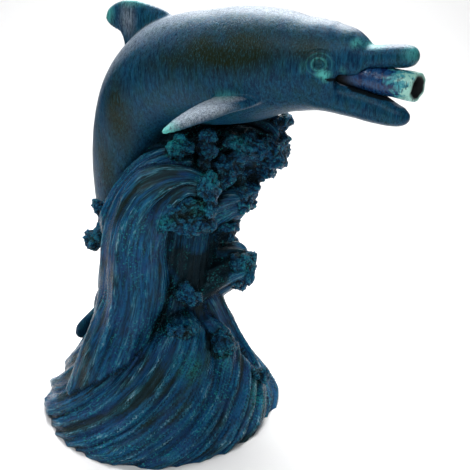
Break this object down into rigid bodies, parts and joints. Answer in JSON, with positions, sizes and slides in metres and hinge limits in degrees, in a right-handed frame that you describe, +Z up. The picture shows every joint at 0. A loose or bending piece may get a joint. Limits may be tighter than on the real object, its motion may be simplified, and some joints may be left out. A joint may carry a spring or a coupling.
{
  "type": "dolphin spitter statue",
  "caption": "Free-standing garden pond statue of a leaping dolphin over a breaking wave, with a water spout tube in its open mouth and a hose inlet at the back.",
  "frame": {"origin": "on the flat underside of the base, below the wave's column", "axes": "+X the dolphin's heading, from the base out past the spout; +Z up from the surface that the statue stands on; the dolphin is symmetric about the plane Y = 0"},
  "size_m": [0.3652, 0.2574, 0.3869],
  "materials": {
    "patinated_casting": "dark blue-green patina, dry-brushed, satin",
    "painted_tube": "blue and mint patina, satin",
    "inlet_brass": "dull turned brass"
  },
  "bodies": {
    "root": {"statue_casting": "patinated_casting", "spout_tube": "painted_tube", "hose_inlet": "inlet_brass"}
  },
  "joints": []
}
